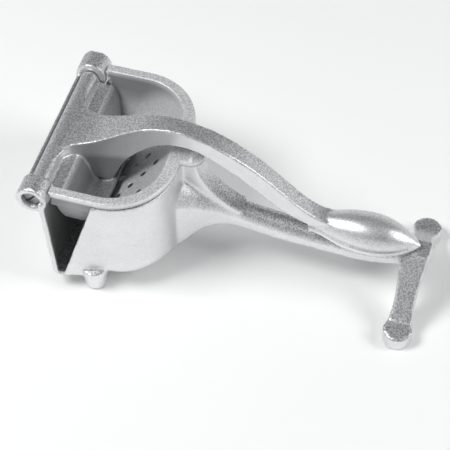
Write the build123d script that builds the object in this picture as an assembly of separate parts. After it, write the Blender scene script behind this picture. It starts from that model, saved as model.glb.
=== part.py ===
from build123d import *
import math
import os

# Hand fruit press, cast in aluminium: a cup with two pouring beaks and a long
# handle that ends in a cross foot, a lift-out strainer, and a hinged lever
# with a press head.  Millimetres.  +X runs from the hinge to the cross foot,
# +Z is up, and Z = 0 is the table.  The two sides, -Y and +Y, are alike.

# ---- overall sizes -------------------------------------------------------
hinge_to_foot = 214.5        # hinge axis to the middle of the cross foot
hinge_height = 75.5          # hinge axis above the table
hinge_span = 114.0           # outside of one ear to outside of the other

# ---- hinge ---------------------------------------------------------------
ear_radius = 9.5
ear_thickness = 13.5
tube_radius = 5.6            # sleeve of the lever that turns between the ears
tube_end_clearance = 0.4
rod_radius = 2.9
rod_running_clearance = 0.05
screw_head_radius = 5.4
screw_head_height = 3.6
screw_recess = 3.2           # how deep the head sits below the ear's face
screw_slot_width = 1.3
screw_slot_depth = 1.2
screw_shank_radius = 1.9
screw_shank_length = 9.0
washer_radius = 5.6
washer_thickness = 1.0
washer_hole_clearance = 0.3
counterbore_clearance = 0.25
cradle_wall = 2.3            # thin lip in front of and under the sleeve
cradle_clearance = 0.9
front_wall_drop = 7.5        # top of both front walls, below the hinge axis

# ---- cup -----------------------------------------------------------------
cup_wall = 2.6
cup_front_inside = 7.2       # inner face of the front wall, from the hinge axis
cup_length = 69.4            # outer face of the front wall to the cup's back
cup_half_width = 52.5
cup_corner_radius = 36.0
cup_bottom_height = 10.0     # underside of the cup above the table
cup_rim_rise = 0.5           # rim of the cup, from the hinge axis upwards
cup_bottom_radius = 12.0

# ---- pouring beaks -------------------------------------------------------
beak_opening = 30.0          # length of the V at the rim
beak_reach = 7.0             # how far the beak's lip stands out from the cup
beak_end_reach = 1.2         # the same at the far end of its V
beak_tip_height = 12.0       # lowest point of the lip above the table
beak_tip_width = 8.4
beak_tip_radius = 3.4
beak_tip_lean = 3.6          # the tip lies this much behind the front wall
beak_wall = 2.4

# ---- peg feet ------------------------------------------------------------
peg_radius_low = 6.4
peg_radius_high = 8.6
peg_from_hinge = 31.0
peg_half_spacing = 49.5

# ---- handle and cross foot -----------------------------------------------
handle_half_width = 7.4
handle_half_width_foot = 7.4
neck_half_width = 22.0
neck_length = 20.0           # cup's back to the slim part of the handle
handle_channel_half_width = 4.6
handle_channel_roof = 4.0
foot_half_length = 47.5
foot_end_radius = 8.8
foot_waist_half_width = 6.4
foot_pad_thickness = 9.5
foot_top_height = 39.0
foot_arm_thickness = 10.0

# ---- strainer ------------------------------------------------------------
strainer_wall = 2.0
strainer_side_clearance = 1.2
strainer_front_clearance = 0.8
strainer_front_lean = 8.0    # how far the front wall leans back, top to bottom
strainer_depth = 46.0
strainer_floor_slope = 1.35  # 1 is a straight slope, 2 and more a round floor
strainer_rim_thickness = 4.4
strainer_flange_back = 7.5   # width of the flange round the back
strainer_flange_side = 3.2
strainer_skirt_height = 11.0
strainer_ear_clearance = 0.8
strainer_seat_clearance = 0.3
tab_length = 13.0
tab_half_width = 9.0
drain_hole_radius = 1.7
drain_grid_x = 49.4          # one hole of the grid, behind the hinge axis
drain_grid_y = -5.9
drain_along = (6.4, 5.7)     # step to the next hole in a row
drain_across = (-2.5, 15.9)   # step to the next row
drain_grid_front = 13.0      # front wall to the first holes
drain_grid_reach = 34.0

# ---- lever ---------------------------------------------------------------
arm_half_width = 6.0
root_fillet = 15.0
root_thickness = 6.0
head_wall = 3.2
head_clearance = 1.6         # press head to strainer
head_length = 34.0           # front of the press head to the back of its bowl shape
head_corner_radius = 9.0
head_floor_gap = 13.0        # how much shallower the press head is than the strainer
head_shelf_inset = 2.0       # the shelf over the front walls, each side of the head
head_rim_rise = 0.5          # top of the press head above the hinge axis
head_lip_x = 33.5            # rear lip of the press head, behind the hinge axis
grip_half_width = 13.2
grip_base_thickness = 3.0
grip_dome_height = 11.5
grip_length = 64.0
grip_lip = 1.3
grip_foot_clearance = 1.2    # grip above the cross foot when closed
grip_overlap = 15.5          # how far the arm runs into the grip
arm_bend = 60.0              # the arm's bend starts this far behind the hinge
arm_bend_to_grip = 106.0     # bend to the end of the arm, at its drawn length

# ---- worked out from the above --------------------------------------------
hinge_x = -(hinge_to_foot + foot_end_radius - ear_radius) / 2
ear_outer = hinge_span / 2
ear_inner = ear_outer - ear_thickness
tube_half_length = ear_inner - tube_end_clearance
cup_front = cup_front_inside - cup_wall
cup_back = cup_front + cup_length
cup_rim_height = hinge_height + cup_rim_rise
strainer_front = cup_front_inside + strainer_front_clearance
strainer_half_width = cup_half_width - cup_wall - strainer_side_clearance
strainer_back = cup_back - cup_wall - strainer_side_clearance
strainer_rim_bottom = cup_rim_height + strainer_seat_clearance
strainer_rim_top = strainer_rim_bottom + strainer_rim_thickness
cross_foot_x = hinge_to_foot
head_depth = strainer_depth - head_floor_gap
head_floor = hinge_height + head_rim_rise - head_depth + head_wall
handle_start = cup_back + neck_length
arm_stretch = (cross_foot_x - grip_length + grip_overlap - arm_bend) / arm_bend_to_grip


def at_hinge(shape):
    """Moves a shape from hinge-based X to the part's own origin."""
    return Pos(hinge_x, 0, 0) * shape


def side_profile(points, closed=True):
    """A wire in the XZ plane through (x, z) points."""
    corners = [Vector(x, 0, z) for x, z in points]
    return Wire(Polyline(*corners, close=closed).edges())


def extrude_sides(face, half_width):
    """Extrudes an XZ face evenly to both sides."""
    return extrude(face, amount=half_width, dir=(0, 1, 0), both=True)


def rounded_plan(front, back, half_width, corner, z):
    """A D-shaped plan: square at the front, rounded corners at the back."""
    straight = half_width - corner
    tip = corner * math.cos(math.radians(45))
    outline = [
        Line((front, half_width, z), (front, -half_width, z)),
        Line((front, -half_width, z), (back - corner, -half_width, z)),
        ThreePointArc(
            (back - corner, -half_width, z),
            (back - corner + tip, -straight - tip, z),
            (back, -straight, z),
        ),
        Line((back, -straight, z), (back, straight, z)),
        ThreePointArc(
            (back, straight, z),
            (back - corner + tip, straight + tip, z),
            (back - corner, half_width, z),
        ),
        Line((back - corner, half_width, z), (front, half_width, z)),
    ]
    return Face(Wire([line.edge() for line in outline]))


def cylinder_y(radius, y_low, y_high, x=0.0, z=None):
    """A cylinder along Y between two values of Y."""
    height = hinge_height if z is None else z
    body = Cylinder(radius, y_high - y_low, align=(Align.CENTER, Align.CENTER, Align.MIN))
    return Pos(x, y_low, height) * Rot(-90, 0, 0) * body


# ---- body casting ----------------------------------------------------------

def cup_block(inset, bottom, top, bottom_radius):
    """The cup's D-shaped block, moved inwards by inset."""
    plan = rounded_plan(
        cup_front + inset,
        cup_back - inset,
        cup_half_width - inset,
        cup_corner_radius - inset,
        bottom,
    )
    block = extrude(plan, amount=top - bottom, dir=(0, 0, 1))
    front_edge_x = cup_front + inset
    low = [
        e for e in block.edges()
        if abs(e.center().Z - bottom) < 0.01 and e.center().X > front_edge_x + 0.5
    ]
    return fillet(low, bottom_radius)


def beak_section(floor_length, floor, inset, y_front, y_back, lean=0.0):
    """One upright section of a beak: its floor's length, height and lean."""
    spare = 20 if inset else 0
    front = cup_front + inset
    rim_end = cup_front + cup_wall + beak_opening - inset
    tip_radius = beak_tip_radius - inset
    floor_start = front + lean
    floor_end = floor_start + floor_length
    slope = (rim_end - floor_end) / (cup_rim_height - floor)
    corners = [
        (front, cup_rim_height + spare),
        (floor_start, floor + tip_radius),
        (floor_start + tip_radius, floor),
        (floor_end, floor + tip_radius / 3),
        (rim_end + spare * slope, cup_rim_height + spare),
    ]
    turn = (y_back - y_front) / (rim_end - front)
    points = [Vector(x, y_front + turn * (x - front), z) for x, z in corners]
    return Face(Wire(Polyline(*points, close=True).edges()))


def beak_block(side, inset):
    """One beak as a flared block, from inside the cup out to its lip."""
    inside = side * (cup_half_width - cup_bottom_radius - 2)
    root = side * (cup_half_width - cup_wall * (1 if inset else 0))
    lip = side * (cup_half_width + beak_reach - inset * cup_wall / beak_wall)
    lip_end = side * (cup_half_width + beak_end_reach - inset * cup_wall / beak_wall)
    floor = cup_bottom_height + inset * cup_wall / beak_wall
    tip = beak_tip_height - beak_wall + inset
    root_floor = beak_opening + cup_wall - 2 * inset
    sections = [
        beak_section(root_floor, floor, inset, inside, inside),
        beak_section(root_floor, floor, inset, root, root),
        beak_section(beak_tip_width - 2 * inset, tip, inset, lip, lip_end, beak_tip_lean),
    ]
    return loft(sections, ruled=True)


def beak_notch(side):
    """The V cut straight out through the beak's lip."""
    start = side * (cup_half_width - cup_wall)
    tip = beak_tip_height
    width = beak_tip_width - 2 * beak_wall
    section = beak_section(width, tip, beak_wall, start, start, beak_tip_lean)
    return extrude(section, amount=cup_wall + beak_reach + 1, dir=(0, side, 0))


def hinge_ear(side):
    low, high = sorted((side * ear_inner, side * ear_outer))
    return cylinder_y(ear_radius, low, high)


def cradle():
    """The trough between the ears, in front of and under the sleeve."""
    outer = tube_radius + cradle_clearance + cradle_wall
    inner = tube_radius + cradle_clearance
    roll = cylinder_y(outer, -ear_inner, ear_inner) - cylinder_y(inner, -ear_inner, ear_inner)
    low_corner = (Align.MIN, Align.CENTER, Align.MIN)
    before = Pos(-outer, 0, hinge_height - outer) * Box(
        outer, 2 * ear_inner, outer + cup_rim_rise, align=low_corner
    )
    under = Pos(0, 0, hinge_height - outer) * Box(
        cup_front + cup_wall / 2, 2 * ear_inner, outer - front_wall_drop, align=low_corner
    )
    return (roll & before) + (roll & under)


def peg_foot(side):
    top = cup_bottom_height + cup_bottom_radius * 0.6
    cone = Cone(peg_radius_low, peg_radius_high, top, align=(Align.CENTER, Align.CENTER, Align.MIN))
    return Pos(peg_from_hinge, side * peg_half_spacing, 0) * cone


def handle_section(x, bottom, shoulder, top, half_width):
    """A section of the handle: straight sides up to the shoulder, round top."""
    low_left = Vector(x, -half_width, bottom)
    low_right = Vector(x, half_width, bottom)
    high_left = Vector(x, -half_width, shoulder)
    high_right = Vector(x, half_width, shoulder)
    edges = [
        Line(low_left, low_right),
        Line(low_right, high_right),
        ThreePointArc(high_right, Vector(x, 0, top), high_left),
        Line(high_left, low_left),
    ]
    return Face(Wire([line.edge() for line in edges]))


def handle():
    """The neck behind the cup and the long handle, down to the cross foot."""
    end = cross_foot_x
    span = end - handle_start
    stations = [
        (cup_back - 8, 16.0, 52.0, 64.0, neck_half_width + 3),
        (cup_back + 5, 19.0, 48.0, 58.0, neck_half_width - 5),
        (handle_start, 28.0, 40.5, 48.5, handle_half_width + 2),
        (handle_start + 0.20 * span, 28.0, 34.5, 41.0, handle_half_width),
        (handle_start + 0.51 * span, 25.0, 30.5, 36.0, handle_half_width),
        (handle_start + 0.75 * span, 24.0, 29.5, 35.0, handle_half_width),
        (handle_start + 0.88 * span, 27.0, 31.0, 37.0, handle_half_width),
        (end, 28.5, 33.0, foot_top_height, handle_half_width_foot),
    ]
    return loft([handle_section(*s) for s in stations])


def neck_web():
    """The curved web that carries the strainer's tab."""
    back = cup_back
    outline = [
        Line((back - 3, 0, cup_rim_height), (back + 9, 0, cup_rim_height)),
        Spline(
            (back + 9, 0, cup_rim_height),
            (back + 14, 0, 61.0),
            (back + 24, 0, 49.5),
            (back + 36, 0, 42.5),
        ),
        Line((back + 36, 0, 42.5), (back + 26, 0, 34.0)),
        Line((back + 26, 0, 34.0), (back - 3, 0, 40.0)),
        Line((back - 3, 0, 40.0), (back - 3, 0, cup_rim_height)),
    ]
    face = Face(Wire([line.edge() for line in outline]))
    return extrude_sides(face, handle_half_width - 1.2)


def foot_profile():
    """The arch of the cross foot seen along X."""
    top = foot_top_height
    pad = foot_pad_thickness
    end = foot_half_length
    under = foot_top_height - foot_arm_thickness
    right = [
        (6.0, top),
        (end - 13.0, pad + 1.5),
        (end, pad),
        (end, 0.0),
        (end - 13.0, 0.0),
        (end - 17.0, 2.0),
        (7.0, under - 1.5),
    ]
    left = [(-y, z) for y, z in reversed(right)]
    corners = [Vector(cross_foot_x, y, z) for y, z in right + left]
    return Face(Wire(Polyline(*corners, close=True).edges()))


def foot_plan():
    """The cross foot seen from above: round ends and a narrower waist."""
    end = foot_half_length - foot_end_radius
    mid = cross_foot_x
    half = [
        ThreePointArc(
            (mid + foot_end_radius, end, 0),
            (mid, foot_half_length, 0),
            (mid - foot_end_radius, end, 0),
        ),
        Spline(
            (mid - foot_end_radius, end, 0),
            (mid - foot_waist_half_width, end / 2, 0),
            (mid - foot_end_radius, 0, 0),
            (mid - foot_waist_half_width, -end / 2, 0),
            (mid - foot_end_radius, -end, 0),
        ),
        ThreePointArc(
            (mid - foot_end_radius, -end, 0),
            (mid, -foot_half_length, 0),
            (mid + foot_end_radius, -end, 0),
        ),
        Spline(
            (mid + foot_end_radius, -end, 0),
            (mid + foot_waist_half_width, -end / 2, 0),
            (mid + foot_end_radius, 0, 0),
            (mid + foot_waist_half_width, end / 2, 0),
            (mid + foot_end_radius, end, 0),
        ),
    ]
    return Face(Wire([line.edge() for line in half]))


def cross_foot():
    arch = extrude(foot_profile(), amount=foot_end_radius + 2, dir=(1, 0, 0), both=True)
    plan = extrude(foot_plan(), amount=foot_top_height + 2, dir=(0, 0, 1))
    return arch & plan


def handle_channel():
    """The cored underside of the handle."""
    start = handle_start + 4
    stop = cross_foot_x - foot_end_radius - 3
    span = stop - start
    roof = handle_channel_roof
    outline = [
        (start, 15.0),
        (start, 47.0 - roof),
        (start + 0.19 * span, 41.0 - roof),
        (start + 0.55 * span, 36.0 - roof),
        (start + 0.82 * span, 35.0 - roof),
        (stop, 37.0 - roof),
        (stop, 15.0),
    ]
    return extrude_sides(Face(side_profile(outline)), handle_channel_half_width)


def screw_bores(side):
    """Rod hole and counterbore of one ear."""
    low, high = sorted((side * (ear_inner - 1), side * (ear_outer + 1)))
    rod_hole = cylinder_y(rod_radius, low, high)
    depth = screw_recess + screw_head_height + washer_thickness
    low, high = sorted((side * (ear_outer - depth), side * (ear_outer + 1)))
    return rod_hole + cylinder_y(washer_radius + counterbore_clearance, low, high)


def body_casting():
    rim = cup_rim_height
    body = cup_block(0, cup_bottom_height, rim, cup_bottom_radius)
    for side in (-1, 1):
        body += beak_block(side, 0)
        body += hinge_ear(side)
        body += peg_foot(side)
    front_plate = Pos(cup_front, 0, cup_bottom_height + 2) * Box(
        cup_wall,
        2 * cup_half_width,
        hinge_height - cup_bottom_height - 2,
        align=(Align.MIN, Align.CENTER, Align.MIN),
    )
    body += front_plate
    body += handle() + neck_web() + cross_foot()
    body -= cup_block(cup_wall, cup_bottom_height + cup_wall, rim + 12, cup_bottom_radius - cup_wall)
    for side in (-1, 1):
        body -= beak_block(side, beak_wall)
        body -= beak_notch(side)
    lever_gap = Pos(0, 0, hinge_height - front_wall_drop) * Box(
        2 * ear_radius, 2 * ear_inner, 40, align=(Align.CENTER, Align.CENTER, Align.MIN)
    )
    body -= lever_gap
    body += cradle()
    for side in (-1, 1):
        body += hinge_ear(side)
    for side in (-1, 1):
        body -= screw_bores(side)
    body -= handle_channel()
    return body


# ---- strainer ----------------------------------------------------------------

def scoop(front, back, half_width, corner, top, depth, lean, back_share_at):
    """A D-shaped bowl: leaning front, rising floor, sections shrink with depth."""
    middle = front + 0.27 * (back - front)
    sections = []
    for fraction in (0.0, 0.3, 0.55, 0.75, 0.88, 0.96):
        back_share = back_share_at(fraction)
        side_share = (1 - fraction ** 3) ** (1 / 3)
        sections.append(
            rounded_plan(
                front + lean * fraction,
                middle + (back - middle) * back_share,
                half_width * side_share,
                corner * (0.35 + 0.65 * back_share) * min(1, side_share + 0.1),
                top - depth * fraction,
            )
        )
    return loft(sections)


def round_back(fraction):
    """How far back a round-bottomed bowl still reaches at a share of its depth."""
    return math.sqrt(1 - fraction ** 2)


def sloping_back(fraction):
    """The same for the strainer, whose floor slopes up to its rim."""
    return 1 - fraction ** strainer_floor_slope


def strainer_plate(grow, bottom, top):
    """A flat D-shaped slab as large as the strainer's skirt plus grow."""
    plan = rounded_plan(
        strainer_front,
        strainer_back + grow,
        strainer_half_width + grow,
        cup_corner_radius - cup_wall + grow,
        bottom,
    )
    return extrude(plan, amount=top - bottom, dir=(0, 0, 1))


def drain_holes():
    """Upright rods that cut the drain holes, on a slanted grid over the floor."""
    rods = []
    middle = strainer_front + 17
    for i in range(-6, 7):
        for j in range(-6, 7):
            x = drain_grid_x + i * drain_along[0] + j * drain_across[0]
            y = drain_grid_y + i * drain_along[1] + j * drain_across[1]
            reach = math.hypot(max(0.0, x - middle), y)
            if x < strainer_front + drain_grid_front or reach > drain_grid_reach:
                continue
            rod = Cylinder(drain_hole_radius, 60, align=(Align.CENTER, Align.CENTER, Align.MAX))
            rods.append(Pos(x, y, strainer_rim_top - 4) * rod)
    return rods


def strainer_tab():
    """The thumb tab behind the flange, with a raised rib across its middle."""
    start = cup_back - 3
    low = strainer_rim_bottom
    plan = Pos(start, 0, low) * Box(
        tab_length - tab_half_width + 3,
        2 * tab_half_width,
        strainer_rim_thickness,
        align=(Align.MIN, Align.CENTER, Align.MIN),
    )
    round_end = Pos(start + tab_length - tab_half_width + 3, 0, low) * Cylinder(
        tab_half_width, strainer_rim_thickness, align=(Align.CENTER, Align.CENTER, Align.MIN)
    )
    rib = Pos(start + tab_length - 3.5, 0, strainer_rim_top) * Box(
        2.2, 2 * tab_half_width - 5, 1.6, align=(Align.CENTER, Align.CENTER, Align.MIN)
    )
    return plan + round_end + rib


def strainer_basket():
    skirt_bottom = strainer_rim_bottom - strainer_skirt_height
    flange_grow = strainer_side_clearance + cup_wall
    inner_half = cup_half_width - strainer_flange_side - cup_wall
    inner_back = cup_back - strainer_flange_back
    inner_front = strainer_front + strainer_wall
    top = strainer_rim_top
    basket = strainer_plate(flange_grow, strainer_rim_bottom, top)
    basket += strainer_plate(0, skirt_bottom, strainer_rim_bottom)
    basket += scoop(
        strainer_front,
        inner_back + strainer_wall,
        inner_half + strainer_wall,
        cup_corner_radius - strainer_flange_back / 2,
        top,
        strainer_depth,
        strainer_front_lean,
        sloping_back,
    ) & (Pos(0, 0, skirt_bottom) * Box(300, 300, 200, align=(Align.CENTER, Align.CENTER, Align.MAX)))
    basket += strainer_tab()
    basket -= scoop(
        inner_front,
        inner_back,
        inner_half,
        cup_corner_radius - strainer_flange_back / 2 - strainer_wall,
        top + 0.01,
        strainer_depth - strainer_wall,
        strainer_front_lean,
        sloping_back,
    )
    mouth = Pos(strainer_front - 1, 0, hinge_height - front_wall_drop) * Box(
        strainer_wall + strainer_front_lean, 2 * (inner_half - 1.5), 40, align=(Align.MIN, Align.CENTER, Align.MIN)
    )
    basket -= mouth
    for side in (-1, 1):
        low, high = sorted((side * (ear_inner - 1.5), side * (ear_outer + 1)))
        basket -= cylinder_y(ear_radius + strainer_ear_clearance, low, high)
    for rod in drain_holes():
        basket -= rod
    return basket


# ---- lever -------------------------------------------------------------------

def arm_side(outline_top, outline_low):
    """A closed side view from a top curve and a lower curve."""
    top = Spline(*[Vector(x, 0, z) for x, z in outline_top])
    low = Spline(*[Vector(x, 0, z) for x, z in outline_low])
    front = Line(top @ 0, low @ 0)
    back = Line(low @ 1, top @ 1)
    return Face(Wire([top.edge(), back.edge(), low.edge(), front.edge()]))


# the arm's flat top: distance behind the hinge axis, half width, height
arm_crown = [
    (1.0, 21.0, 80.2),
    (10.0, 15.0, 80.6),
    (20.0, 11.6, 82.4),
    (30.0, 9.6, 87.0),
    (40.0, 7.8, 92.4),
    (54.0, 6.4, 98.6),
    (68.0, 5.8, 100.8),
    (82.0, 5.8, 99.2),
    (97.0, 5.9, 93.8),
    (116.0, 5.7, 82.8),
    (137.0, 5.4, 64.8),
    (149.0, 5.4, 54.8),
    (158.0, 5.8, 50.6),
    (166.0, 6.2, 49.6),
]
arm_low = [
    (13.6, 70.0),
    (17.6, head_floor + 13.8),
    (21.0, head_floor + 6.3),
    (27.0, head_floor + 3.3),
    (36.0, 62.0),
    (46.0, 75.5),
    (60.0, 86.0),
    (78.0, 88.6),
    (94.0, 82.6),
    (112.0, 69.5),
    (130.0, 54.6),
    (146.0, 45.5),
    (166.0, 42.6),
]


def arm_x(x):
    """Moves a drawn point of the arm, so that it always reaches the grip."""
    return x if x < arm_bend else arm_bend + (x - arm_bend) * arm_stretch


def arm():
    """The arched arm: its side view cut to its plan."""
    crown = [(arm_x(x), half, z) for x, half, z in arm_crown]
    top = [(x, z) for x, half, z in crown]
    low = [(arm_x(x), z) for x, z in arm_low]
    side_view = extrude_sides(arm_side(top, low), tube_half_length)
    left = Spline(*[Vector(x, -half, 0) for x, half, z in crown])
    right = Spline(*[Vector(x, half, 0) for x, half, z in crown])
    ends = [Line(left @ 0, right @ 0), Line(left @ 1, right @ 1)]
    plan = Face(Wire([left.edge(), ends[1].edge(), right.edge(), ends[0].edge()]))
    return side_view & extrude(plan, amount=150, dir=(0, 0, 1))


def root_gusset():
    """The flare that carries the arm's root out along the sleeve."""
    upper = [(x, z - 0.4) for x, half, z in arm_crown[:4]]
    lower = [(x, z - root_thickness) for x, z in upper]
    plate = extrude_sides(arm_side(upper, lower), tube_half_length)
    r = root_fillet
    half = arm_crown[2][1]
    reach = half + r
    start = tube_radius - 1
    mid = r * (1 - math.sin(math.radians(45)))
    plan = [
        Line((0, -reach, 0), (0, reach, 0)),
        Line((0, reach, 0), (start, reach, 0)),
        ThreePointArc((start, reach, 0), (start + mid, half + mid, 0), (start + r, half, 0)),
        Line((start + r, half, 0), (start + r, -half, 0)),
        ThreePointArc((start + r, -half, 0), (start + mid, -half - mid, 0), (start, -reach, 0)),
        Line((start, -reach, 0), (0, -reach, 0)),
    ]
    outline = Face(Wire([line.edge() for line in plan]))
    return plate & extrude(outline, amount=150, dir=(0, 0, 1))


def press_head():
    """The press head: a curved plate hung from the sleeve, open at the back."""
    front = strainer_front + strainer_wall + head_clearance
    back = front + head_length
    half = cup_half_width - strainer_flange_side - cup_wall - head_clearance
    top = hinge_height + head_rim_rise
    plate = scoop(
        front, back, half, head_corner_radius, top, head_depth, strainer_front_lean, round_back
    )
    shelf_low = hinge_height - front_wall_drop + head_clearance
    shelf = [
        (0, top),
        (0, shelf_low),
        (front + head_wall, shelf_low),
        (front + head_wall, top),
    ]
    plate += extrude_sides(Face(side_profile(shelf)), half - head_shelf_inset)
    floor = head_floor
    face = [
        (front + 1.0, shelf_low + head_wall - 0.4),
        (front + head_wall + 1.4, shelf_low - 3.0),
        (front + head_wall + 3.6, floor + 12.0),
        (front + head_wall + 6.0, floor + 5.0),
        (front + head_wall + 9.4, floor + 2.6),
        (front + head_wall + 13.6, floor + 3.2),
        (head_lip_x, floor + 5.4),
    ]
    start = (tube_radius - 0.8, shelf_low + head_wall + 1.6)
    curve = Spline(*[Vector(x, 0, z) for x, z in face])
    rest = [
        face[-1],
        (head_lip_x + 0.6, 0.0),
        (back + 5, 0.0),
        (back + 5, top + 1),
        (start[0], top + 1),
        start,
        face[0],
    ]
    straight = Polyline(*[Vector(x, 0, z) for x, z in rest])
    hollow = Face(Wire([curve.edge()] + list(straight.edges())))
    return plate - extrude_sides(hollow, cup_half_width)


def grip():
    """The boat-shaped grip: a flat base plate with a domed top."""
    base = foot_top_height + grip_foot_clearance
    end = cross_foot_x
    start = end - grip_length
    shares = [
        (0.00, 0.42, 0.55),
        (0.12, 0.52, 0.58),
        (0.30, 0.84, 0.84),
        (0.50, 1.00, 1.00),
        (0.68, 0.97, 0.94),
        (0.84, 0.72, 0.66),
        (0.95, 0.38, 0.30),
        (1.00, 0.12, 0.10),
    ]
    dome_sections = []
    plate_left = []
    plate_right = []
    for along, wide, high in shares:
        x = start + along * grip_length
        half = grip_half_width * wide
        z = base + grip_base_thickness
        foot_line = Line((x, -half, z - 1), (x, half, z - 1))
        cap = ThreePointArc((x, half, z - 1), (x, 0, z + grip_dome_height * high), (x, -half, z - 1))
        dome_sections.append(Face(Wire([foot_line.edge(), cap.edge()])))
        plate_left.append(Vector(x, -half - grip_lip, base))
        plate_right.append(Vector(x, half + grip_lip, base))
    tip = Vector(end + grip_lip * 2, 0, base)
    left = Spline(*plate_left, tip)
    right = Spline(*plate_right, tip)
    close = Line(plate_left[0], plate_right[0])
    plate = extrude(
        Face(Wire([left.edge(), right.edge(), close.edge()])),
        amount=grip_base_thickness,
        dir=(0, 0, 1),
    )
    return loft(dome_sections) + plate


def press_lever():
    tube = cylinder_y(tube_radius, -tube_half_length, tube_half_length)
    lever = arm() + root_gusset() + press_head() + tube + grip()
    lever -= cylinder_y(rod_radius + rod_running_clearance, -tube_half_length - 1, tube_half_length + 1)
    return lever


# ---- hinge hardware ------------------------------------------------------------

def rod_reach():
    return ear_outer - screw_recess - screw_head_height - washer_thickness


def hinge_rod():
    return cylinder_y(rod_radius, -rod_reach(), rod_reach())


def hinge_washer(side):
    """A flat ring at the bottom of one ear's counterbore."""
    low, high = sorted((side * rod_reach(), side * (rod_reach() + washer_thickness)))
    ring = cylinder_y(washer_radius, low, high)
    return ring - cylinder_y(screw_shank_radius + washer_hole_clearance, low - 1, high + 1)


def hinge_screw(side):
    """A slotted end screw: its shank is set into the rod's tapped end."""
    inner = rod_reach() + washer_thickness
    outer = inner + screw_head_height
    low, high = sorted((side * inner, side * outer))
    screw = cylinder_y(screw_head_radius, low, high)
    low, high = sorted((side * (rod_reach() - screw_shank_length), side * inner))
    screw += cylinder_y(screw_shank_radius, low, high)
    slot = Pos(0, side * outer, hinge_height) * Rot(0, 40, 0) * Box(
        screw_slot_width, 2 * screw_slot_depth, 4 * screw_head_radius
    )
    return screw - slot


def tapped_rod():
    """The hinge rod with a blind hole for the screw in each end."""
    rod = hinge_rod()
    for side in (-1, 1):
        low, high = sorted((side * (rod_reach() - screw_shank_length), side * (rod_reach() + 1)))
        rod -= cylinder_y(screw_shank_radius, low, high)
    return rod


def main():
    os.makedirs("parts", exist_ok=True)
    parts = {
        "body_casting": body_casting(),
        "strainer_basket": strainer_basket(),
        "press_lever": press_lever(),
        "hinge_rod": tapped_rod(),
        "hinge_washer_near": hinge_washer(-1),
        "hinge_washer_far": hinge_washer(1),
        "hinge_screw_near": hinge_screw(-1),
        "hinge_screw_far": hinge_screw(1),
    }
    for name, shape in parts.items():
        export_step(at_hinge(shape), "parts/" + name + ".step")


main()
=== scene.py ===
import math

import bpy
from mathutils import Matrix, Vector


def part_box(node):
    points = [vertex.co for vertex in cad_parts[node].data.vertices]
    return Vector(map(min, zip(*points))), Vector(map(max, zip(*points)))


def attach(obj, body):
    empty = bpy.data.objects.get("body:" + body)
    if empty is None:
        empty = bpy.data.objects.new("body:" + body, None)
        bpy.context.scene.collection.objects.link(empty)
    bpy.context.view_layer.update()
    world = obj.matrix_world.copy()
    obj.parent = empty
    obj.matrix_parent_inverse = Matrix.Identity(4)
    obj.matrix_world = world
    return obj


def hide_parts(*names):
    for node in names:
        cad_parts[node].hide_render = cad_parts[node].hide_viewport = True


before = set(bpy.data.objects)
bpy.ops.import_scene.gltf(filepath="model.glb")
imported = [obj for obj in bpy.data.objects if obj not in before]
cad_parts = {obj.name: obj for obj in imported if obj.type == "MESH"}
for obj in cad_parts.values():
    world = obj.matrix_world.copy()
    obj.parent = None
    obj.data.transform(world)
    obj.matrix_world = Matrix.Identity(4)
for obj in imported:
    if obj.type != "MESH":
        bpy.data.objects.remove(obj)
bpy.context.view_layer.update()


# ---- body casting ------------------------------------------------------------
# One aluminium casting: the D-shaped cup with a pouring beak on each side, two
# peg feet, and the long handle that ends in the cross foot.  It is cast in
# sand, fettled and tumbled, so every edge is softly rounded.

BODY_GRAIN = 0.00100          # size of the mesh's facets, metres
BODY_SOFTENING = 5            # passes that round the cast edges
CAST_PALE = (0.84, 0.845, 0.85, 1.0)
CAST_SATIN = (0.72, 0.725, 0.735, 1.0)
# painted shade: the darker grey laid on up-facing faces
TOP_PAINTED_SHADE_GREY = (0.50, 0.505, 0.51, 1.0)
CAST_DARK = (0.13, 0.132, 0.137, 1.0)
# colour of the painted glints, and of the hand polish on the grip
PAINTED_GLINT_AND_POLISH_PALE = (0.95, 0.95, 0.96, 1.0)
CLOUD_SCALE = 42.0            # soft patches of tone, in waves per metre
BLOTCH_SCALE = 150.0
PIT_SCALE = 480.0             # small pits that the sand leaves
SPECKLE_SCALE = 1000.0        # dark grain, laid mostly on up-facing faces with their painted shade
PAINTED_GLINT_SCALE = 1700.0        # painted glints: bright points between the grain
CAST_RELIEF = 0.00025         # depth of the grain, metres
WELD_REACH = 0.000002         # joins the corners of the CAD's loose triangles


class Val:
    """A node socket's output that adds Math nodes when it meets an operator."""

    def __init__(self, finish, socket):
        self.finish = finish
        self.socket = socket

    def _op(self, operation, first, second):
        sides = {0: first, 1: second}
        return self.finish.node("ShaderNodeMath", {"operation": operation}, sides)["Value"]

    def __add__(self, other):
        return self._op("ADD", self, other)

    __radd__ = __add__

    def __sub__(self, other):
        return self._op("SUBTRACT", self, other)

    def __rsub__(self, other):
        return self._op("SUBTRACT", other, self)

    def __mul__(self, other):
        return self._op("MULTIPLY", self, other)

    __rmul__ = __mul__


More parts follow.
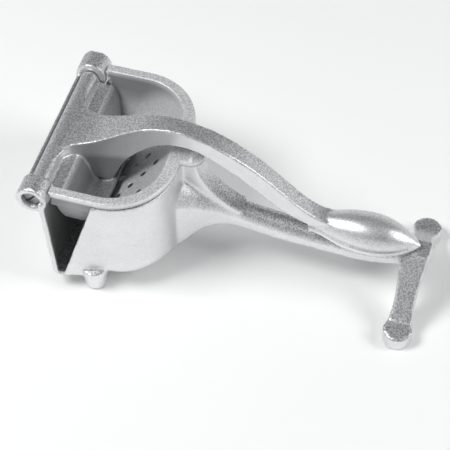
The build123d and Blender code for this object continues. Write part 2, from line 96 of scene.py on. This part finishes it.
class Finish:
    """A material, with one method that makes every node in it."""

    def __init__(self, name, owner=None):
        self.material = owner or bpy.data.materials.new(name)
        self.material.use_nodes = True
        self.tree = self.material.node_tree
        self.tree.nodes.clear()

    def node(self, kind, settings=None, inputs=None):
        made = self.tree.nodes.new(kind)
        for key, value in (settings or {}).items():
            if key == "stops":
                ramp = made.color_ramp
                while len(ramp.elements) < len(value):
                    ramp.elements.new(0.5)
                for element, (place, colour) in zip(ramp.elements, value):
                    element.position = place
                    element.color = colour
            else:
                setattr(made, key, value)
        for key, value in (inputs or {}).items():
            socket = made.inputs[key]
            if isinstance(value, Val):
                self.tree.links.new(value.socket, socket)
            else:
                socket.default_value = value
        return {out.name: Val(self, out) for out in made.outputs if out.enabled}

    def ramp(self, value, stops):
        return self.node("ShaderNodeValToRGB", {"stops": stops}, {"Fac": value})["Color"]

    def spread(self, value, low, high):
        given = {"Value": value, "From Min": low, "From Max": high}
        return self.node("ShaderNodeMapRange", {"clamp": True}, given)["Result"]

    def blend(self, amount, first, second):
        made = self.node(
            "ShaderNodeMix",
            {"data_type": "RGBA", "blend_type": "MIX"},
            {0: amount, 6: first, 7: second},
        )
        return made["Result"]

    def noise(self, place, scale, detail=2.0, rough=0.5):
        made = self.node(
            "ShaderNodeTexNoise",
            {"noise_dimensions": "3D"},
            {"Vector": place, "Scale": scale, "Detail": detail, "Roughness": rough},
        )
        return made["Fac"]

    def done(self, inputs):
        shader = self.node("ShaderNodeBsdfPrincipled", None, inputs)["BSDF"]
        self.node("ShaderNodeOutputMaterial", None, {"Surface": shader})
        return self.material


def cast_finish(name, grain, wear, base_rough, metal, polished=None, painted_shade_mask=None):
    """Tumbled cast aluminium: pale satin flanks; up-facing faces painted a darker grey as painted
    shade, with a speckled grain and painted glints.

    polished makes a mask where hands rub it bright; the other paints shade into walls and hollows.
    """
    made = Finish(name)
    where = made.node("ShaderNodeTexCoord")
    place = where["Object"]
    facing = made.node("ShaderNodeSeparateXYZ", None, {"Vector": where["Normal"]})["Z"]
    clouds = made.noise(place, CLOUD_SCALE, 3.0, 0.55)
    blotches = made.noise(place, BLOTCH_SCALE, 2.0, 0.6)
    speckle = made.noise(place, SPECKLE_SCALE, 1.0, 0.6)
    glint_noise = made.noise(place, PAINTED_GLINT_SCALE, 0.0, 0.5)
    pits = made.spread(made.noise(place, PIT_SCALE, 2.0, 0.5), 0.28, 0.36)
    # painted shade: up-facing faces turn a darker grey than the flanks, as the light falls; the
    # real grain's strength follows the same mask
    upward = made.spread(facing + 0.35 * (clouds - 0.5), 0.10, 0.80)
    amount = (0.10 + 0.90 * upward) * grain
    shine = polished(made, place) if polished else 0.0
    painted_shade = painted_shade_mask(made, place, facing) if painted_shade_mask else 0.0
    if polished:
        amount = amount * (1 - 0.25 * shine)
    dark_fleck = 1 - made.spread(speckle, 0.38, 0.60)
    # painted glints: bright points painted into the grain's colour
    painted_glint = made.spread(glint_noise, 0.58, 0.72)
    tone = made.spread(clouds * 0.6 + blotches * 0.4, 0.35, 0.65)
    satin = made.blend(tone * 0.5, CAST_PALE, CAST_SATIN)
    ground = made.blend(amount * 0.85, satin, TOP_PAINTED_SHADE_GREY)
    flecked = made.blend(dark_fleck * amount * 0.80, ground, CAST_DARK)
    bright = made.blend(painted_glint * amount * 0.70, flecked, PAINTED_GLINT_AND_POLISH_PALE)
    pit_depth = (1 - pits) * (0.12 + 0.33 * upward) * wear
    colour = made.blend(pit_depth, bright, CAST_DARK)
    rough = base_rough + 0.08 * tone + 0.16 * amount - 0.12 * painted_glint * amount
    if painted_shade_mask:
        # painted shade: walls and hollows that lie in shadow are darkened toward the dark cast
        # colour
        colour = made.blend(painted_shade * 0.62, colour, CAST_DARK)
        rough = rough + 0.15 * painted_shade
    if polished:
        colour = made.blend(shine * 0.25, colour, PAINTED_GLINT_AND_POLISH_PALE)
        rough = rough - 0.02 * shine
    height = speckle * amount + 0.35 * pits + 0.35 * blotches
    bump = made.node(
        "ShaderNodeBump",
        None,
        {"Strength": 0.45, "Distance": CAST_RELIEF, "Height": height},
    )["Normal"]
    return made.done(
        {"Base Color": colour, "Metallic": metal, "Roughness": rough, "Normal": bump}
    )


def baked(piece):
    """The piece's mesh with its modifiers applied; they are then removed."""
    graph = bpy.context.evaluated_depsgraph_get()
    graph.update()
    mesh = bpy.data.meshes.new_from_object(piece.evaluated_get(graph))
    piece.modifiers.clear()
    piece.data = mesh
    return mesh


def cast_copy(name, node, facet, softening):
    """A finer skin of one casting, with its sharp edges rounded as cast."""
    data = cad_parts[node].data.copy()
    piece = bpy.data.objects.new(name, data)
    bpy.context.scene.collection.objects.link(piece)
    weld = piece.modifiers.new("weld", "WELD")
    weld.merge_threshold = WELD_REACH
    skin = piece.modifiers.new("skin", "REMESH")
    skin.mode = "VOXEL"
    skin.voxel_size = facet
    skin.use_smooth_shade = True
    soften = piece.modifiers.new("soften", "SMOOTH")
    soften.factor = 0.5
    soften.iterations = softening
    mesh = baked(piece)
    mesh.name = name
    mesh.materials.clear()
    for face in mesh.polygons:
        face.use_smooth = True
    return piece


body = cast_copy("body_casting_skin", "body_casting", BODY_GRAIN, BODY_SOFTENING)
body.data.materials.append(cast_finish("cast aluminium body", 0.82, 0.9, 0.30, 0.85))
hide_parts("body_casting")
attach(body, "body")


# ---- strainer basket ---------------------------------------------------------
# The lift-out strainer: a cast bowl with a flange that rests on the cup's rim
# and a thumb tab over the neck.  Its drain holes are drilled straight down, on
# a slanted grid, after it is cast.

STRAINER_GRAIN = 0.00060
STRAINER_SOFTENING = 4

HOLE_RADIUS = 0.00180
HOLE_ALONG = (0.0064, 0.0057, 0.0)
HOLE_ACROSS = (-0.0025, 0.0159, 0.0)
HOLE_FIRST = (0.0494, -0.0059, 0.030)    # one drilled hole, from the hinge's middle
HOLE_LENGTH = 0.070
HOLE_SIDES = 20
HOLE_COUNT = 13                          # rows and columns before the trim
HOLES_FRONT = 0.0237                     # no holes nearer than this to the hinge
HOLES_MIDDLE = 0.0277                    # centre of the round end of the pattern
HOLES_REACH = 0.0340


class Tree:
    """A geometry node tree, with one method that makes every node in it."""

    def __init__(self, name, inputs):
        self.group = bpy.data.node_groups.new(name, "GeometryNodeTree")
        sides = self.group.interface
        sides.new_socket("Geometry", in_out="INPUT", socket_type="NodeSocketGeometry")
        sides.new_socket("Geometry", in_out="OUTPUT", socket_type="NodeSocketGeometry")
        self.named = {}
        for label, kind in inputs:
            socket = sides.new_socket(label, in_out="INPUT", socket_type="NodeSocket" + kind)
            self.named[label] = socket.identifier
        self.given = self.node("NodeGroupInput")

    def node(self, kind, settings=None, inputs=None):
        made = self.group.nodes.new(kind)
        for key, value in (settings or {}).items():
            setattr(made, key, value)
        for key, value in (inputs or {}).items():
            if isinstance(value, bpy.types.NodeSocket):
                self.group.links.new(value, made.inputs[key])
            else:
                made.inputs[key].default_value = value
        return made.outputs

    def maths(self, operation, first, second=0.0):
        sides = {0: first, 1: second}
        made = self.node("ShaderNodeMath", {"operation": operation}, sides)
        return made["Value"]

    def scaled(self, vector, amount):
        given = {0: vector, "Scale": amount}
        made = self.node("ShaderNodeVectorMath", {"operation": "SCALE"}, given)
        return made["Vector"]

    def added(self, first, second):
        sides = {0: first, 1: second}
        made = self.node("ShaderNodeVectorMath", {"operation": "ADD"}, sides)
        return made["Vector"]


def drilled_tree(finish):
    """Drills a slanted grid of round holes straight down through a casting."""
    drill = Tree(
        "drain holes",
        [
            ("Hole radius", "Float"),
            ("Hole length", "Float"),
            ("First hole", "Vector"),
            ("Step along", "Vector"),
            ("Step across", "Vector"),
            ("Front limit", "Float"),
            ("Round centre", "Float"),
            ("Reach", "Float"),
        ],
    )
    given = drill.given
    counts = {
        "Size X": HOLE_COUNT - 1.0,
        "Size Y": HOLE_COUNT - 1.0,
        "Vertices X": HOLE_COUNT,
        "Vertices Y": HOLE_COUNT,
    }
    grid = drill.node("GeometryNodeMeshGrid", None, counts)["Mesh"]
    spot = drill.node("GeometryNodeInputPosition")["Position"]
    count = drill.node("ShaderNodeSeparateXYZ", None, {"Vector": spot})
    along = drill.scaled(given["Step along"], count["X"])
    across = drill.scaled(given["Step across"], count["Y"])
    place = drill.added(given["First hole"], drill.added(along, across))
    slanted = drill.node("GeometryNodeSetPosition", None, {"Geometry": grid, "Position": place})
    at = drill.node("ShaderNodeSeparateXYZ", None, {"Vector": spot})
    before = drill.maths("LESS_THAN", at["X"], given["Front limit"])
    inwards = drill.maths("MAXIMUM", drill.maths("SUBTRACT", at["X"], given["Round centre"]), 0.0)
    offset = drill.node("ShaderNodeCombineXYZ", None, {"X": inwards, "Y": at["Y"]})["Vector"]
    length = drill.node("ShaderNodeVectorMath", {"operation": "LENGTH"}, {0: offset})["Value"]
    beyond = drill.maths("GREATER_THAN", length, given["Reach"])
    outside = drill.maths("MAXIMUM", before, beyond)
    kept = drill.node(
        "GeometryNodeDeleteGeometry",
        {"domain": "POINT"},
        {"Geometry": slanted["Geometry"], "Selection": outside},
    )["Geometry"]
    bit = drill.node(
        "GeometryNodeMeshCylinder",
        None,
        {"Vertices": HOLE_SIDES, "Radius": given["Hole radius"], "Depth": given["Hole length"]},
    )["Mesh"]
    bits = drill.node("GeometryNodeInstanceOnPoints", None, {"Points": kept, "Instance": bit})
    solid = drill.node("GeometryNodeRealizeInstances", None, {"Geometry": bits["Instances"]})
    cut = drill.node(
        "GeometryNodeMeshBoolean",
        {"operation": "DIFFERENCE", "solver": "MANIFOLD"},
        {"Mesh 1": given["Geometry"], "Mesh 2": solid["Geometry"]},
    )["Mesh"]
    painted = drill.node("GeometryNodeSetMaterial", None, {"Geometry": cut, "Material": finish})
    drill.node("NodeGroupOutput", None, {"Geometry": painted["Geometry"]})
    return drill


FLANGE_TOP = 0.003            # the painted shade on the walls fades out this far below the rim
FLANGE_FADE = 0.006


def strainer_wall_shade(made, place, facing):
    """Mask of painted shade on the strainer's steep inner walls, below the flange."""
    low = made.node("ShaderNodeSeparateXYZ", None, {"Vector": place})["Z"]
    steep = 1 - made.spread(facing, 0.10, 0.32)
    return steep * (1 - made.spread(low, strainer_top - FLANGE_FADE, strainer_top - FLANGE_TOP))


hinge_low, hinge_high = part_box("hinge_rod")
hinge_x = (hinge_low[0] + hinge_high[0]) / 2
strainer_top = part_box("strainer_basket")[1][2]
strainer = cast_copy("strainer_basket_skin", "strainer_basket", STRAINER_GRAIN, STRAINER_SOFTENING)
# the strainer's steep inner walls get painted shade
strainer_skin = cast_finish("cast aluminium strainer", 0.50, 0.5, 0.36, 0.45, None, strainer_wall_shade)
drilled = drilled_tree(strainer_skin)
drill = strainer.modifiers.new("drain holes", "NODES")
drill.node_group = drilled.group
first_hole = (HOLE_FIRST[0] + hinge_x, HOLE_FIRST[1], HOLE_FIRST[2])
sizes = {
    "Hole radius": HOLE_RADIUS,
    "Hole length": HOLE_LENGTH,
    "First hole": first_hole,
    "Step along": HOLE_ALONG,
    "Step across": HOLE_ACROSS,
    "Front limit": hinge_x + HOLES_FRONT,
    "Round centre": hinge_x + HOLES_MIDDLE,
    "Reach": HOLES_REACH,
}
for label, value in sizes.items():
    drill[drilled.named[label]] = value
pierced = baked(strainer)
pierced.materials.clear()      # the cut leaves an empty slot beside the finish
pierced.materials.append(strainer_skin)
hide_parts("strainer_basket")
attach(strainer, "strainer")


# ---- press lever -------------------------------------------------------------
# The lever is one casting too: the sleeve on the hinge rod, the arched arm,
# the hollow press head under its root, and the boat-shaped grip.

LEVER_GRAIN = 0.00065
LEVER_SOFTENING = 7

GRIP_START = 0.150            # from the hinge's middle: where hands polish it
GRIP_FULL = 0.165
HEAD_END = 0.045              # the painted shade in the press head's hollow ends here
HEAD_FADE = 0.004
HEAD_TOP = 0.001              # and this far above the hinge rod's lower side


def grip_polish(made, place):
    """Mask of the grip, rubbed bright by hands."""
    along = made.node("ShaderNodeSeparateXYZ", None, {"Vector": place})["X"]
    return made.spread(along, hinge_x + GRIP_START, hinge_x + GRIP_FULL)


def head_hollow_shade(made, place, facing):
    """Mask of painted shade in the press head's hollow, under the lever's root."""
    point = made.node("ShaderNodeSeparateXYZ", None, {"Vector": place})
    near_hinge = 1 - made.spread(point["X"], hinge_x + HEAD_END - HEAD_FADE, hinge_x + HEAD_END)
    low = 1 - made.spread(point["Z"], hinge_low[2] - HEAD_FADE, hinge_low[2] + HEAD_TOP)
    return near_hinge * low


lever = cast_copy("press_lever_skin", "press_lever", LEVER_GRAIN, LEVER_SOFTENING)
# the press head's hollow gets painted shade
lever.data.materials.append(
    cast_finish("cast aluminium lever", 0.72, 0.8, 0.28, 0.85, grip_polish, head_hollow_shade)
)
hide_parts("press_lever")
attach(lever, "lever")


# ---- hinge hardware ----------------------------------------------------------
# A steel rod runs through both ears and the sleeve.  A slotted screw with a
# washer is set into each end of it, below the face of the ear.


def steel_finish(name, ground, rough):
    """Plated steel: unpolished grey, with a fine grain and small dark stains."""
    made = Finish(name)
    place = made.node("ShaderNodeTexCoord")["Object"]
    stains = made.noise(place, 260.0, 3.0, 0.6)
    grain = made.noise(place, 1500.0, 1.0, 0.5)
    stain = made.spread(stains, 0.50, 0.72)
    colour = made.blend(stain * 0.55, ground, (0.20, 0.195, 0.19, 1.0))
    bump = made.node(
        "ShaderNodeBump",
        None,
        {"Strength": 0.2, "Distance": 0.0001, "Height": grain + stains},
    )["Normal"]
    return made.done(
        {
            "Base Color": colour,
            "Metallic": 1.0,
            "Roughness": rough + 0.15 * stain + 0.08 * grain,
            "Normal": bump,
        }
    )


# the screws and washers are darker than the rod: partly their own plated grey, partly painted shade
# of the recess in the ear
screw_steel_recess_shade = steel_finish("plated screw steel with painted shade", (0.36, 0.36, 0.37, 1.0), 0.30)
rod_steel = steel_finish("drawn rod steel", (0.50, 0.50, 0.51, 1.0), 0.34)
steel_pieces = {
    "hinge_rod": rod_steel,
    "hinge_washer_near": screw_steel_recess_shade,
    "hinge_washer_far": screw_steel_recess_shade,
    "hinge_screw_near": screw_steel_recess_shade,
    "hinge_screw_far": screw_steel_recess_shade,
}
for node, finish in steel_pieces.items():
    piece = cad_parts[node]
    piece.data.materials.clear()
    piece.data.materials.append(finish)


# ---- table, lights and camera --------------------------------------------------
# A plain pale table top, two large soft lamps and a room around them, pale below and dark grey
# above.
# The camera looks down from the near side, past the hinge.

FLOOR_SIZE = 6.0
floor_mesh = bpy.data.meshes.new("table_top")
corner = FLOOR_SIZE / 2
floor_mesh.from_pydata(
    [(-corner, -corner, 0), (corner, -corner, 0), (corner, corner, 0), (-corner, corner, 0)],
    [],
    [(0, 1, 2, 3)],
)
floor = bpy.data.objects.new("table_top", floor_mesh)
bpy.context.scene.collection.objects.link(floor)
paper = Finish("pale table")
floor_mesh.materials.append(
    paper.done({"Base Color": (0.90, 0.90, 0.895, 1.0), "Roughness": 0.9})
)

world = bpy.data.worlds.new("room")
bpy.context.scene.world = world
room = Finish("room", world)
direction = room.node("ShaderNodeTexCoord")["Generated"]
height = room.node("ShaderNodeSeparateXYZ", None, {"Vector": direction})["Z"]
walls = [
    (0.0, (0.95, 0.96, 0.97, 1)),
    (0.30, (0.80, 0.81, 0.83, 1)),
    (0.62, (0.17, 0.175, 0.18, 1)),
    (1.0, (0.22, 0.225, 0.23, 1)),
]
glow = room.node("ShaderNodeBackground", None, {"Color": room.ramp(height, walls), "Strength": 0.9})
room.node("ShaderNodeOutputWorld", None, {"Surface": glow["Background"]})


def lamp(name, place, aim, width, depth, power):
    """A soft rectangular lamp that faces a point."""
    data = bpy.data.lights.new(name, "AREA")
    data.shape = "RECTANGLE"
    data.size = width
    data.size_y = depth
    data.energy = power
    made = bpy.data.objects.new(name, data)
    made.location = place
    made.rotation_euler = (Vector(aim) - Vector(place)).to_track_quat("-Z", "Y").to_euler()
    bpy.context.scene.collection.objects.link(made)


LAMP_AIM = (0.0, 0.0, 0.04)
lamp("key", (-0.55, -0.30, 1.00), LAMP_AIM, 0.45, 0.45, 9.0)
lamp("side", (0.95, 0.10, 0.80), LAMP_AIM, 0.5, 0.5, 6.0)

CAMERA_TURN = 18.7            # degrees round from the near side
CAMERA_LIFT = 52.0
CAMERA_ROLL = -1.9
CAMERA_DISTANCE = 1.021
CAMERA_TARGET = (-0.0079, -0.005, 0.025)

camera_data = bpy.data.cameras.new("camera")
camera_data.sensor_width = 36.0
camera_data.lens = 136.0
camera_data.clip_start = 0.05
camera = bpy.data.objects.new("camera", camera_data)
bpy.context.scene.collection.objects.link(camera)
turn = math.radians(CAMERA_TURN)
lift = math.radians(CAMERA_LIFT)
roll = math.radians(CAMERA_ROLL)
sideways = math.cos(lift)
back = Vector((math.sin(turn) * sideways, -math.cos(turn) * sideways, math.sin(lift)))
camera.location = Vector(CAMERA_TARGET) + back * CAMERA_DISTANCE
look = (-back).to_track_quat("-Z", "Y")
camera.rotation_euler = (look.to_matrix() @ Matrix.Rotation(roll, 3, "Z")).to_euler()
bpy.context.scene.camera = camera

scene = bpy.context.scene
scene.view_settings.view_transform = "Standard"
scene.view_settings.look = "None"
